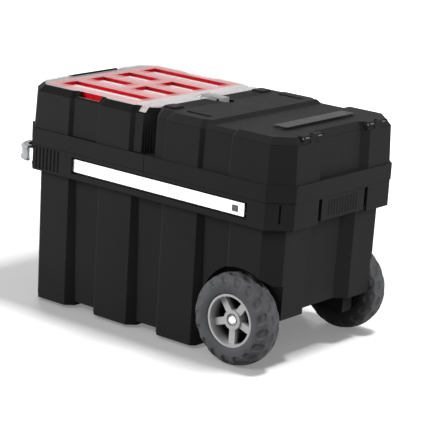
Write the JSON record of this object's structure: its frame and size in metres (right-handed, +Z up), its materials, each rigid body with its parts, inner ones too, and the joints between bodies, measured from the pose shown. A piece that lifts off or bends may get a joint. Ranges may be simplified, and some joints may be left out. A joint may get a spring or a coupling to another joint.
{
  "type": "rolling toolbox",
  "caption": "Wheeled tool chest: deep corrugated bin, pull-out handle, clear-lidded organiser with red bins and a lidded rear box that slide apart on rails.",
  "frame": {"origin": "centre of the chest's footprint on the floor, midway over its full length with the handle pushed in and midway between the wheels", "axes": "+X along the length towards the wheel end, +Y to the right when pulled by the handle, +Z up"},
  "size_m": [0.6116, 0.362, 0.4095],
  "materials": {
    "black_plastic": "fine-grained moulded polypropylene",
    "clear_plastic": "clear glossy polycarbonate",
    "red_plastic": "glossy red polypropylene",
    "latch_plastic": "grey plastic",
    "wheel_plastic": "grey moulded plastic",
    "tyre_rubber": "dark grey tyre rubber",
    "bar_aluminium": "bright anodised",
    "grip_plastic": "silver-grey plastic",
    "rail_steel": "zinc plated",
    "steel": "zinc plated",
    "chrome": "bright chrome"
  },
  "bodies": {
    "base": {"base_bin": "black_plastic", "side_rail_left": "rail_steel", "side_rail_right": "rail_steel", "rail_screws": "steel", "rear_grip": "black_plastic", "axle": "steel", "axle_caps": "chrome", "wheel_washers": "steel"},
    "wheel_left": {"wheel_rim_left": "wheel_plastic", "tyre_left": "tyre_rubber"},
    "wheel_right": {"wheel_rim_right": "wheel_plastic", "tyre_right": "tyre_rubber"},
    "handle": {"handle_bar_left": "bar_aluminium", "handle_bar_right": "bar_aluminium", "handle_grip": "grip_plastic", "handle_shoe_left": "black_plastic", "handle_shoe_right": "black_plastic", "handle_rivets": "steel"},
    "organiser": {"organiser_box": "black_plastic", "bin_1": "red_plastic", "bin_2": "red_plastic", "bin_3": "red_plastic", "bin_4": "red_plastic", "bin_5": "red_plastic", "bin_6": "red_plastic", "organiser_runner_left": "black_plastic", "organiser_runner_right": "black_plastic", "organiser_screws": "steel", "organiser_hinge_pin": "steel"},
    "organiser_lid": {"organiser_lid": "clear_plastic", "latch_pin": "steel"},
    "latch": {"latch": "latch_plastic"},
    "rear_box": {"rear_box": "black_plastic", "rear_runner_left": "black_plastic", "rear_runner_right": "black_plastic", "rear_screws": "steel", "rear_hinge_pins": "steel"},
    "rear_lid": {"rear_lid": "black_plastic"}
  },
  "joints": [
    {"name": "handle_slide", "type": "slide", "parent": "base", "child": "handle", "axis": [-1, 0, 0], "range_m": [0, 0.35]},
    {"name": "organiser_slide", "type": "slide", "parent": "base", "child": "organiser", "axis": [-1, 0, 0], "range_m": [0, 0.12]},
    {"name": "rear_box_slide", "type": "slide", "parent": "base", "child": "rear_box", "axis": [1, 0, 0], "range_m": [0, 0.12]},
    {"name": "organiser_lid_hinge", "type": "hinge", "parent": "organiser", "child": "organiser_lid", "pos_m": [-0.27425, 0, 0.4], "axis": [0, -1, 0], "range_deg": [0, 100]},
    {"name": "latch_hinge", "type": "hinge", "parent": "organiser_lid", "child": "latch", "pos_m": [-0.01025, 0, 0.403], "axis": [0, -1, 0], "range_deg": [0, 100]},
    {"name": "rear_lid_hinge", "type": "hinge", "parent": "rear_box", "child": "rear_lid", "pos_m": [0.29725, 0, 0.3995], "axis": [0, 1, 0], "range_deg": [0, 100]},
    {"name": "wheel_left_spin", "type": "hinge", "parent": "base", "child": "wheel_left", "pos_m": [0.21475, -0.156, 0.08], "axis": [0, 1, 0], "continuous": true},
    {"name": "wheel_right_spin", "type": "hinge", "parent": "base", "child": "wheel_right", "pos_m": [0.21475, 0.156, 0.08], "axis": [0, 1, 0], "continuous": true}
  ]
}
